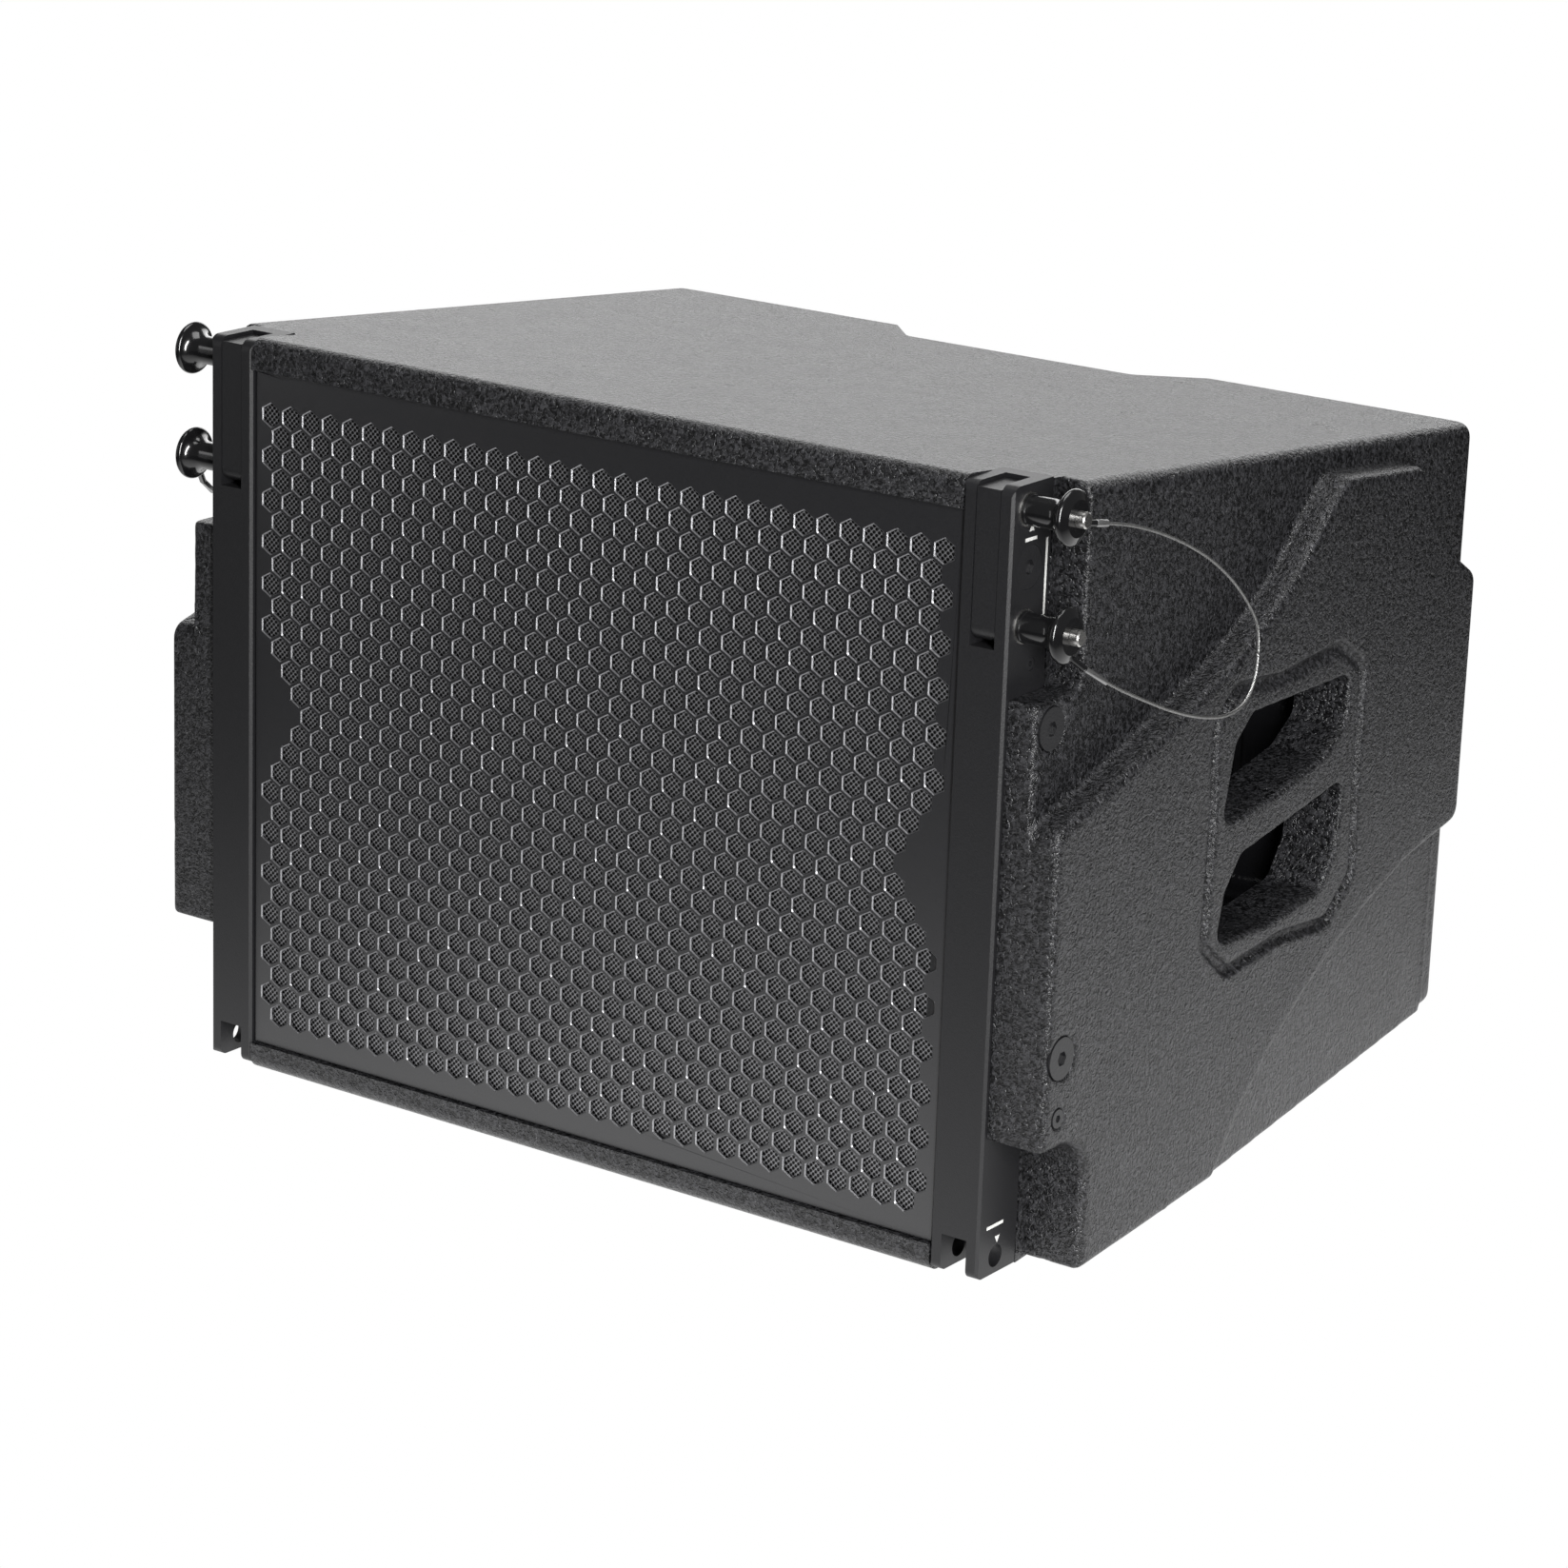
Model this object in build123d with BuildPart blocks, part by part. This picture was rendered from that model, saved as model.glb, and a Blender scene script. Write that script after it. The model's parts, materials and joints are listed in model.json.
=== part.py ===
"""Compact two-way line array cabinet with front rigging columns, in millimetres.

Everything is drawn square to the front of the cabinet: X to the right, Y to the
rear from the front face, Z up from the lower front edge.  The cabinet tapers to
the rear, so it is laid back by its taper at the end and stands on its bottom.
"""
from build123d import *
from math import cos, pi, radians, sin, tan
import os

os.makedirs("parts", exist_ok=True)

# ---- driving dimensions -------------------------------------------------------
height = 356.0            # cabinet height at the front
depth = 380.0             # front face to rear face
taper = 5.0               # degrees that the top and the bottom each slope
half_width = 235.0        # side faces of the cabinet
cheek_face = 249.0        # outer face of the raised cheeks
panel = 15.0              # top, bottom and rear panels
edge_round = 7.0          # rounding of the coated outer edges

window = 195.7            # half width of the grille, inner faces of the columns
column_outer = 220.6      # outer faces of the columns
column_depth = 30.0
column_foot = 3.0         # lower end of the columns above the lower edge
column_top = 354.0
slot_inner = 202.0        # slot for the link bar, between the two walls
slot_outer = 214.3
slot_depth = 22.0
slot_bottom = 284.0
clevis_top = 20.5         # slot in the lower end that takes the next link bar
side_split = 220.8        # inner face of the side panels

pin_axis_y = 12.0
pin_heights = (293.0, 343.0)
pin_radius = 5.0
pin_bore = 5.06
link_hole = (14.0, 11.0)  # Y and Z of the hole in the lower ends
link_hole_radius = 5.15
bar_travel = 24.0

notch_wall = 38.0         # depth of the recesses that bare the column ends
notch_floor = 263.0
lower_notch = 67.0

grille_low, grille_high = 14.2, 340.8
grille_front = 2.5
grille_sheet = 1.5
hole_flats = 9.6
hole_pitch = 12.0
hole_row = 10.03
hole_rows = 30
first_hole = (186.0, 321.0)

baffle_front = 31.0
baffle_back = 46.0

woofer_x, woofer_z = -42.0, 178.0
woofer_radius = 152.0
horn_x, horn_z = 145.0, 178.0
horn_half_width, horn_half_height = 26.0, 142.0

recess_mouth, recess_floor, recess_depth = 98.0, 66.0, 36.0

rise = tan(radians(taper))


def top_at(y):
    """Height of the sloping top face at a depth y."""
    return height - rise * y


def bottom_at(y):
    """Height of the sloping bottom face at a depth y."""
    return rise * y


pieces = {}


def keep(name, piece):
    """Remember one finished piece under the name of its node."""
    pieces[name] = piece


def mirrored(name, other):
    """Make the left-hand twin of a right-hand piece."""
    with BuildPart() as twin:
        mirror(other.part, about=Plane.YZ)
    keep(name, twin)
    return twin


# ---- the outer body, later cut into panels ------------------------------------
with BuildPart() as body:
    with BuildSketch(Plane.YZ) as flank:
        with BuildLine():
            Polyline((0, 0), (depth, bottom_at(depth)), (depth, top_at(depth)), (0, height), close=True)
        make_face()
    extrude(amount=half_width, both=True)
    fillet(body.edges(), radius=edge_round)
    with BuildSketch(Plane.XY):
        for side in (-1, 1):
            with BuildLine():
                Polyline((side * window, -1), (side * window, column_depth + 0.2),
                         (side * side_split, column_depth + 0.2), (side * side_split, 3),
                         (side * 260, 3), (side * 260, -1), close=True)
            make_face()
    extrude(amount=height + 1, mode=Mode.SUBTRACT)
    with BuildSketch(Plane.XY):
        with BuildLine():
            Polyline((-recess_mouth, depth + 1), (-recess_floor, depth - recess_depth),
                     (recess_floor, depth - recess_depth), (recess_mouth, depth + 1), close=True)
        recess_face = make_face()
        fillet(recess_face.vertices().group_by(Axis.Y)[0], radius=8)
    extrude(amount=height, mode=Mode.SUBTRACT)

# recesses in the sides that bare the upper and the lower ends of the columns
with BuildPart() as column_notches:
    with BuildSketch(Plane.YZ.offset(side_split)):
        with BuildLine():
            Polyline((-1, notch_floor), (notch_wall, notch_floor), (notch_wall, height + 9),
                     (-1, height + 9), close=True)
        upper = make_face()
        fillet(upper.vertices().group_by(Axis.Z)[0].sort_by(Axis.Y)[-1], radius=22)
        with BuildLine():
            Polyline((-1, lower_notch), (notch_wall, lower_notch), (notch_wall, -9), (-1, -9), close=True)
        lower = make_face()
        fillet(lower.vertices().group_by(Axis.Z)[-1].sort_by(Axis.Y)[-1], radius=20)
    extrude(amount=60)

# ---- side panels with their raised cheeks -------------------------------------
cheek_outline = [
    (3, 210), (52, 224), (101, 241), (140, 255), (168, 269), (196, 288),
    (217, 309), (234, 323), (306, 316), (315, 300), (330, 279), (348, 265), (365, 255),
    (365, 134), (318, 125), (280, 111), (252, 98), (222, 80), (196, 62), (172, 40), (150, 13),
    (150, -9), (3, -9)]

with BuildPart() as cheek_envelope:
    with BuildSketch(Plane.YZ):
        with BuildLine():
            Polyline((0, 0), (depth, bottom_at(depth)), (depth, top_at(depth)), (0, height), close=True)
        make_face()
    extrude(amount=cheek_face + 1)

with BuildPart() as cheek:
    with BuildSketch(Plane.YZ.offset(half_width - 4)):
        with BuildLine():
            FilletPolyline(*cheek_outline, radius=8, close=True)
        make_face()
    extrude(amount=cheek_face - half_width + 4)
    add(cheek_envelope.part, mode=Mode.INTERSECT)
    add(column_notches.part, mode=Mode.SUBTRACT)
    fillet(cheek.faces().sort_by(Axis.X)[-1].edges(), radius=3.5)

# lower rear flank, which closes in to the rear under the edge of the cheek
with BuildPart() as flank_wedge:
    with BuildSketch(Plane.XY):
        with BuildLine():
            Polyline((half_width - 4, 366), (half_width + 0.4, 366), (246.5, 150), (246.5, 110),
                     (half_width - 4, 110), close=True)
        make_face()
    extrude(amount=128)
    add(cheek_envelope.part, mode=Mode.INTERSECT)

screw_head = 9.5
csk_places = [(14.7, 318.0), (14.7, 108.0)]
# place (Y, Z), face it sits in, head radius and half width of its key
cheek_screws = [(csk_places[1], cheek_face, screw_head, 3.0), ((14.0, 81.0), cheek_face, 4.2, 1.6),
                ((16.0, 250.5), half_width, screw_head, 3.0)]

handle_outline = [(126, 128), (128, 190), (126, 232), (145, 246.5), (184, 243), (239, 247),
                  (262, 232), (261.5, 178), (264, 130), (240, 110), (197, 113.5), (150, 109)]
groove_width, groove_depth = 5.2, 3.2
upper_opening = [(139.5, 181.5), (147.5, 218), (161, 229.6), (248.5, 229.6), (246, 206), (228, 194.5),
                 (182, 185.5)]
lower_opening = [(140, 126.5), (145.5, 150), (158, 165), (216, 174.3), (248.5, 180), (244, 146),
                 (232, 130), (190, 125)]

with BuildPart() as side_right:
    add(body.part)
    with BuildSketch(Plane.YZ.offset(side_split)):
        Rectangle(2 * depth, 3 * height)
    extrude(amount=60, mode=Mode.INTERSECT)
    add(column_notches.part, mode=Mode.SUBTRACT)
    add(cheek.part)
    add(flank_wedge.part)
    with BuildSketch(Plane.YZ.offset(cheek_face - groove_depth)):
        with BuildLine():
            FilletPolyline(*handle_outline, radius=11, close=True)
        make_face()
        offset(amount=-groove_width, kind=Kind.ARC, mode=Mode.SUBTRACT)
    extrude(amount=6, mode=Mode.SUBTRACT)
    with BuildSketch(Plane.YZ.offset(side_split - 1)):
        for opening in (upper_opening, lower_opening):
            with BuildLine():
                FilletPolyline(*opening, radius=6, close=True)
            make_face()
    extrude(amount=40, mode=Mode.SUBTRACT)
    for place, face, head, key in cheek_screws:
        with BuildSketch(Plane.YZ.offset(face - 2.9)):
            with Locations(place):
                Circle(head + 0.2)
        extrude(amount=10, mode=Mode.SUBTRACT)
keep("side_panel_right", side_right)
side_left = mirrored("side_panel_left", side_right)

# ---- top, bottom and rear panels ----------------------------------------------
with BuildPart() as grille_rebate:
    with BuildSketch(Plane.XZ):
        with Locations((0, (grille_low + grille_high) / 2)):
            Rectangle(2 * window + 2, grille_high - grille_low + 0.8)
    extrude(amount=-baffle_front + 5)

with BuildPart() as top_panel:
    add(body.part)
    with BuildSketch(Plane.YZ):
        with BuildLine():
            Polyline((-1, height + 1), (-1, top_at(-1) - panel), (depth + 1, top_at(depth + 1) - panel),
                     (depth + 1, height + 1), close=True)
        make_face()
    extrude(amount=side_split, both=True, mode=Mode.INTERSECT)
    add(grille_rebate.part, mode=Mode.SUBTRACT)
keep("top_panel", top_panel)

with BuildPart() as bottom_panel:
    add(body.part)
    with BuildSketch(Plane.YZ):
        with BuildLine():
            Polyline((-1, -1), (-1, bottom_at(-1) + panel), (depth + 1, bottom_at(depth + 1) + panel),
                     (depth + 1, -1), close=True)
        make_face()
    extrude(amount=side_split, both=True, mode=Mode.INTERSECT)
    add(grille_rebate.part, mode=Mode.SUBTRACT)
keep("bottom_panel", bottom_panel)

plate_x, plate_z = -44.0, 178.0
plate_width, plate_height = 34.0, 96.0
socket_heights = (155.0, 201.0)
socket_hole = 12.2
rear_face = depth - recess_depth

with BuildPart() as rear_panel:
    with BuildSketch(Plane.XY):
        with BuildLine():
            Polyline((-side_split, depth), (-recess_mouth - 1, depth), (-recess_floor, rear_face),
                     (recess_floor, rear_face), (recess_mouth + 1, depth), (side_split, depth),
                     (side_split, depth - panel), (recess_mouth + 4, depth - panel),
                     (recess_floor + 6, rear_face - panel), (-recess_floor - 6, rear_face - panel),
                     (-recess_mouth - 4, depth - panel), (-side_split, depth - panel), close=True)
        make_face()
    extrude(amount=height)
    add(body.part, mode=Mode.INTERSECT)
    with BuildSketch(Plane.YZ):
        with BuildLine():
            Polyline((0, panel), (depth + 1, bottom_at(depth + 1) + panel),
                     (depth + 1, top_at(depth + 1) - panel), (0, height - panel), close=True)
        make_face()
    extrude(amount=side_split, both=True, mode=Mode.INTERSECT)
    with BuildSketch(Plane.XZ.offset(-(rear_face + 1))):
        with Locations(*[(plate_x, z) for z in socket_heights]):
            Circle(socket_hole + 0.3)
    extrude(amount=panel + 4, mode=Mode.SUBTRACT)
keep("rear_panel", rear_panel)

# ---- baffle, brace and damping --------------------------------------------------
port_radius = 17.0
port_places = [(-169.0, 46.0), (-169.0, 310.0)]
woofer_opening = 139.0
screw_circle = 145.0
screw_clearance = 2.8

with BuildPart() as baffle:
    with BuildSketch(Plane.YZ):
        with BuildLine():
            Polyline((baffle_front, bottom_at(baffle_front) + panel),
                     (baffle_back, bottom_at(baffle_back) + panel),
                     (baffle_back, top_at(baffle_back) - panel),
                     (baffle_front, top_at(baffle_front) - panel), close=True)
        make_face()
    extrude(amount=side_split, both=True)
    with BuildSketch(Plane.XZ.offset(-baffle_back - 1)):
        with Locations((woofer_x, woofer_z)):
            Circle(woofer_opening)
        with Locations((horn_x, horn_z)):
            Rectangle(2 * horn_half_width, 2 * horn_half_height)
        with Locations(*port_places):
            Circle(port_radius + 2)
        with Locations((woofer_x, woofer_z)):
            with PolarLocations(screw_circle, 8, start_angle=22.5):
                Circle(screw_clearance)
    extrude(amount=30, mode=Mode.SUBTRACT)
keep("baffle", baffle)

brace_front, brace_back = 210.0, 222.0
with BuildPart() as cabinet_brace:
    with BuildSketch(Plane.YZ):
        with BuildLine():
            Polyline((brace_front, bottom_at(brace_front) + panel),
                     (brace_back, bottom_at(brace_back) + panel),
                     (brace_back, top_at(brace_back) - panel),
                     (brace_front, top_at(brace_front) - panel), close=True)
        make_face()
    extrude(amount=172, both=True)
    with BuildSketch(Plane.XZ.offset(-brace_back - 1)):
        with Locations((-86, 178), (86, 178)):
            RectangleRounded(136, 216, 24)
    extrude(amount=20, mode=Mode.SUBTRACT)
keep("cabinet_brace", cabinet_brace)

with BuildPart() as damping_foam:
    with BuildSketch(Plane.YZ):
        with BuildLine():
            Polyline((230, top_at(230) - panel), (322, top_at(322) - panel),
                     (322, top_at(322) - panel - 20), (230, top_at(230) - panel - 20), close=True)
        make_face()
    extrude(amount=165, both=True)
keep("damping_foam", damping_foam)

with BuildPart() as port_tubes:
    with BuildSketch(Plane.XZ.offset(-baffle_front)):
        with Locations(*port_places):
            Circle(port_radius + 2)
            Circle(port_radius, mode=Mode.SUBTRACT)
    extrude(amount=-75)
keep("port_tubes", port_tubes)

# ---- handle cups behind the hand openings ----------------------------------------
cup_floor = 184.0
with BuildPart() as handle_cup_right:
    with BuildSketch(Plane.YZ.offset(side_split)):
        with Locations(((126 + 262) / 2, 178)):
            RectangleRounded(142, 142, 16)
    extrude(amount=cup_floor - side_split)
    with BuildSketch(Plane.YZ.offset(side_split)):
        with Locations(((126 + 262) / 2, 178)):
            RectangleRounded(136, 136, 13)
    extrude(amount=cup_floor + 3 - side_split, mode=Mode.SUBTRACT)
    fillet(handle_cup_right.faces().sort_by(Axis.X)[0].edges(), radius=6)
keep("handle_cup_right", handle_cup_right)
mirrored("handle_cup_left", handle_cup_right)

# ---- grille, punched with hexagons, and the mesh behind it -------------------------
waist_row = 14            # the punched field steps in by four half pitches here
waist_steps = 4
hole_places = []
for row in range(hole_rows):
    z = first_hole[1] - row * hole_row
    steps_in = max(row % 2, waist_steps - abs(row - waist_row))
    x_left = -first_hole[0] + steps_in * hole_pitch / 2
    count = round(-2 * x_left / hole_pitch) + 1
    hole_places += [(x_left + i * hole_pitch, z) for i in range(count)]

grille_plane = Plane.XZ.offset(-grille_front - grille_sheet)
grille_middle = (grille_low + grille_high) / 2
with BuildSketch(mode=Mode.PRIVATE) as hexagon:
    RegularPolygon(hole_flats / 2, 6, major_radius=False, rotation=30)
hole_wire = hexagon.sketch.faces()[0].outer_wire()
sheet_face = Face(Wire.make_rect(2 * window - 1.0, grille_high - grille_low, Plane((0, grille_middle, 0))),
                  [hole_wire.moved(Location((x, z, 0))) for x, z in hole_places])

with BuildPart() as grille:
    with BuildSketch(grille_plane):
        add(sheet_face)
    extrude(amount=grille_sheet)
    with BuildSketch(grille_plane):
        with Locations((0, grille_middle)):
            Rectangle(2 * window - 1.0, grille_high - grille_low)
            Rectangle(2 * window - 4.0, grille_high - grille_low - 3.0, mode=Mode.SUBTRACT)
    extrude(amount=-10)
keep("grille", grille)

mesh_front = grille_front + grille_sheet + 0.2
with BuildPart() as grille_mesh:
    with BuildSketch(Plane.XZ.offset(-mesh_front - 0.8)):
        with Locations((0, (grille_low + grille_high) / 2)):
            Rectangle(2 * window - 4.4, grille_high - grille_low - 3.4)
    extrude(amount=0.8)
keep("grille_mesh", grille_mesh)

# ---- woofer --------------------------------------------------------------------
speaker_plane = Plane(origin=(woofer_x, baffle_front, woofer_z), x_dir=(1, 0, 0), z_dir=(0, 1, 0))
woofer_profile = Plane(origin=(woofer_x, baffle_front, woofer_z), x_dir=(1, 0, 0), z_dir=(0, 0, 1))
woofer_axis = Axis((woofer_x, baffle_front, woofer_z), (0, 1, 0))


def turned(name, *outlines):
    """Turn closed outlines of (radius, depth behind the baffle front) about the woofer axis."""
    with BuildPart() as piece:
        with BuildSketch(woofer_profile):
            for outline in outlines:
                with BuildLine():
                    Polyline(*outline, close=True)
                make_face()
        revolve(axis=woofer_axis)
    keep(name, piece)


with BuildPart() as basket:
    with BuildSketch(woofer_profile):
        with BuildLine():
            Polyline((136, -6), (woofer_radius, -6), (woofer_radius, -0.1), (138, -0.1), (136.5, 8),
                     (84, 66), (84, 74), (38, 74), (38, 70), (80, 70), (80, 64), (132, 6), (133, -4),
                     close=True)
        make_face()
    revolve(axis=woofer_axis)
    with BuildSketch(Plane.XZ.offset(-baffle_front - 64)):
        with Locations((woofer_x, woofer_z)):
            with PolarLocations(0, 6):
                with BuildLine():
                    Polyline((86, -26), (132, -52), (132, 52), (86, 26), close=True)
                make_face()
    extrude(amount=56, mode=Mode.SUBTRACT)
    with BuildSketch(Plane.XZ.offset(-baffle_front - 1)):
        with Locations((woofer_x, woofer_z)):
            with PolarLocations(screw_circle, 8, start_angle=22.5):
                Circle(screw_clearance)
    extrude(amount=10, mode=Mode.SUBTRACT)
keep("woofer_basket", basket)

turned("woofer_top_plate", [(40, 74.1), (78, 74.1), (78, 84), (40, 84)])
turned("woofer_magnet", [(46, 84.1), (80, 84.1), (80, 106), (46, 106)])
turned("woofer_back_plate", [(0, 106.1), (76, 106.1), (76, 116), (0, 116)],
       [(10, 76), (34, 76), (34, 106.1), (0, 106.1), (0, 100), (10, 100)])
turned("woofer_voice_coil", [(36, 52.2), (37.6, 52.2), (37.6, 92), (36, 92)])
turned("woofer_cone", [(37.8, 52.3), (37.8, 50.3), (120, 8), (122, 8), (122, 9.6), (40, 52.3)])
turned("woofer_dust_cap", [(0, 34), (20, 36), (36, 42), (45, 46.4), (44, 45.1), (36, 40), (20, 34),
                           (0, 32)])
turned("woofer_gasket", [(136, -9), (140, -9), (140, -6.1), (136, -6.1)])


def half_roll(name, inner, outer, level, crown, thickness):
    """Turn one half-round roll between two radii about the woofer axis."""
    middle = (inner + outer) / 2
    with BuildPart() as piece:
        with BuildSketch(woofer_profile):
            with BuildLine():
                ThreePointArc((inner, level), (middle, level - crown), (outer, level))
                Line((outer, level), (outer, level + thickness))
                ThreePointArc((outer, level + thickness), (middle, level + thickness - crown),
                              (inner, level + thickness))
                Line((inner, level + thickness), (inner, level))
            make_face()
        revolve(axis=woofer_axis)
    keep(name, piece)


half_roll("woofer_surround", 122.3, 130.6, 6.0, 4.0, 1.0)
half_roll("woofer_spider", 38.0, 79.0, 60.0, 3.0, 0.8)

with BuildPart() as woofer_screws:
    with Locations(speaker_plane):
        with PolarLocations(screw_circle, 8, start_angle=22.5):
            with Locations((0, 0, -6.1)):
                Cylinder(4.6, 4.4, align=(Align.CENTER, Align.CENTER, Align.MAX))
            with Locations((0, 0, -6.2)):
                Cylinder(2.7, 20, align=(Align.CENTER, Align.CENTER, Align.MIN))
keep("woofer_screws", woofer_screws)

# ---- high-frequency waveguide, driver and its cover ---------------------------------
horn_length = 62.0
throat_radius = 12.7
with BuildPart() as waveguide:
    with BuildSketch(Plane.XZ.offset(-baffle_front + 3)):
        with Locations((horn_x, horn_z)):
            Rectangle(2 * horn_half_width + 14, 2 * horn_half_height + 12)
    extrude(amount=-3)
    with BuildSketch(Plane.XZ.offset(-baffle_front)):
        with Locations((horn_x, horn_z)):
            Rectangle(2 * horn_half_width - 1, 2 * horn_half_height - 1)
    with BuildSketch(Plane.XZ.offset(-baffle_front - horn_length)):
        with Locations((horn_x, horn_z)):
            Rectangle(2 * throat_radius + 12, 2 * throat_radius + 12)
    loft()
    with BuildSketch(Plane.XZ.offset(-baffle_front + 3.01)):
        with Locations((horn_x, horn_z)):
            Rectangle(2 * horn_half_width - 8, 2 * horn_half_height - 8)
    with BuildSketch(Plane.XZ.offset(-baffle_front - horn_length - 0.01)):
        with Locations((horn_x, horn_z)):
            Rectangle(2 * throat_radius - 4, 2 * throat_radius - 4)
    loft(mode=Mode.SUBTRACT)
keep("waveguide", waveguide)

driver_plane = Plane(origin=(horn_x, baffle_front + horn_length, horn_z), x_dir=(1, 0, 0),
                     z_dir=(0, 1, 0))
with BuildPart(driver_plane) as compression_driver:
    with Locations((0, 0, 0.1)):
        Cylinder(34, 10, align=(Align.CENTER, Align.CENTER, Align.MIN))
    with Locations((0, 0, 10.1)):
        Cylinder(36, 24, align=(Align.CENTER, Align.CENTER, Align.MIN))
    with Locations((0, 0, 0.1)):
        Cylinder(10, 22, align=(Align.CENTER, Align.CENTER, Align.MIN), mode=Mode.SUBTRACT)
    chamfer(compression_driver.edges().filter_by(GeomType.CIRCLE).group_by(Axis.Y)[-1], length=2)
keep("compression_driver", compression_driver)

with BuildPart(driver_plane) as driver_cover:
    with Locations((0, 0, 34.2)):
        Cylinder(33, 12, align=(Align.CENTER, Align.CENTER, Align.MIN))
    fillet(driver_cover.edges().filter_by(GeomType.CIRCLE).group_by(Axis.Y)[-1], radius=4)
keep("compression_driver_cover", driver_cover)

with BuildPart() as waveguide_screws:
    with BuildSketch(Plane.XZ.offset(-baffle_front + 3.1)):
        with Locations((horn_x, horn_z)):
            with GridLocations(2 * horn_half_width + 7.5, 132, 2, 3):
                Circle(3)
    extrude(amount=2)
keep("waveguide_screws", waveguide_screws)

# ---- crossover on the cabinet floor ---------------------------------------------------
floor_plane = Plane(origin=(0, 0, panel), x_dir=(1, 0, 0), z_dir=(0, -sin(radians(taper)), cos(radians(taper))))
board_y = 275.0
with BuildPart(floor_plane) as crossover_board:
    with Locations((-20, board_y, 6)):
        Box(180, 84, 1.6, align=(Align.CENTER, Align.CENTER, Align.MIN))
    with Locations((-20, board_y, 0)):
        with GridLocations(166, 70, 2, 2):
            Cylinder(4, 6.1, align=(Align.CENTER, Align.CENTER, Align.MIN))
keep("crossover_board", crossover_board)

with BuildPart(floor_plane) as crossover_inductors:
    for place in ((-84, board_y - 6), (-26, board_y + 4), (36, board_y - 8)):
        with Locations((place[0], place[1], 7.7)):
            Cylinder(21, 18, align=(Align.CENTER, Align.CENTER, Align.MIN))
            Cylinder(9, 18, align=(Align.CENTER, Align.CENTER, Align.MIN), mode=Mode.SUBTRACT)
keep("crossover_inductors", crossover_inductors)

with BuildPart(floor_plane) as crossover_capacitors:
    for place in ((-72, board_y + 28), (-26, board_y - 28), (34, board_y + 26)):
        with Locations((place[0], place[1], 7.7 + 6)):
            Cylinder(6, 30, rotation=(0, 90, 0))
keep("crossover_capacitors", crossover_capacitors)

# ---- connector plate in the rear recess -------------------------------------------------
with BuildPart() as connector_plate:
    with BuildSketch(Plane.XZ.offset(-rear_face)):
        with Locations((plate_x, plate_z)):
            RectangleRounded(plate_width, plate_height, 3)
        with Locations(*[(plate_x, z) for z in socket_heights]):
            Circle(socket_hole, mode=Mode.SUBTRACT)
    extrude(amount=-2)
keep("connector_plate", connector_plate)

for name, z in zip(("connector_socket_input", "connector_socket_link"), socket_heights):
    socket_plane = Plane(origin=(plate_x, rear_face + 2.1, z), x_dir=(1, 0, 0), z_dir=(0, 1, 0))
    with BuildPart(socket_plane) as socket:
        Box(29, 29, 2.4, align=(Align.CENTER, Align.CENTER, Align.MIN))
        fillet(socket.edges().filter_by(Axis.Y), radius=3)
        with Locations((0, 0, -22)):
            Cylinder(12, 22, align=(Align.CENTER, Align.CENTER, Align.MIN))
        with Locations((0, 0, 2.4)):
            Cylinder(13, 2.2, align=(Align.CENTER, Align.CENTER, Align.MIN))
        with Locations((0, 0, -18)):
            Cylinder(10.4, 26, align=(Align.CENTER, Align.CENTER, Align.MIN), mode=Mode.SUBTRACT)
        with Locations((0, 0, -18.5)):
            Cylinder(6.5, 17, align=(Align.CENTER, Align.CENTER, Align.MIN))
    keep(name, socket)

with BuildPart() as plate_screws:
    with BuildSketch(Plane.XZ.offset(-rear_face - 2.1)):
        with Locations((plate_x, plate_z)):
            with GridLocations(plate_width - 7, plate_height - 7, 2, 2):
                Circle(2.6)
    extrude(amount=-1.8)
keep("connector_plate_screws", plate_screws)

# ---- rigging columns -----------------------------------------------------------------------

with BuildPart() as column_right:
    with BuildSketch(Plane.XY.offset(column_foot)):
        with Locations(((window + column_outer) / 2, column_depth / 2)):
            Rectangle(column_outer - window, column_depth)
    extrude(amount=column_top - column_foot)
    chamfer(column_right.edges().filter_by(Axis.Z).group_by(Axis.Y)[0], length=1.2)
    fillet(column_right.edges().filter_by(Axis.X).group_by(Axis.Y)[0].group_by(Axis.Z)[-1], radius=5)
    fillet(column_right.edges().filter_by(Axis.X).group_by(Axis.Y)[0].group_by(Axis.Z)[0], radius=4)
    with BuildSketch(Plane.XZ.offset(1)):
        with Locations(((slot_inner + slot_outer) / 2, (slot_bottom + column_top + 20) / 2)):
            Rectangle(slot_outer - slot_inner, column_top + 20 - slot_bottom)
    extrude(amount=-slot_depth - 1, mode=Mode.SUBTRACT)
    with BuildSketch(Plane.XZ.offset(1)):
        with Locations(((slot_inner + slot_outer) / 2, clevis_top - 15)):
            Rectangle(slot_outer - slot_inner + 0.6, 30)
    extrude(amount=-column_depth - 2, mode=Mode.SUBTRACT)
    with BuildSketch(Plane.YZ.offset(window - 1)):
        with Locations(*[(pin_axis_y, z) for z in pin_heights]):
            Circle(pin_bore)
        with Locations(link_hole):
            Circle(link_hole_radius)
    extrude(amount=40, mode=Mode.SUBTRACT)
    with BuildSketch(Plane.YZ.offset(slot_outer + 0.4)):
        with Locations(*[(pin_axis_y, z) for z in pin_heights]):
            Circle(7.5)
    extrude(amount=20, mode=Mode.SUBTRACT)
    with BuildSketch(Plane.YZ.offset(column_outer - 3)):
        with Locations(csk_places[0]):
            Circle(screw_head + 0.1)
        with Locations((19, 275.6)):
            Circle(3.1)
    extrude(amount=10, mode=Mode.SUBTRACT)
keep("rigging_column_right", column_right)
mirrored("rigging_column_left", column_right)

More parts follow.
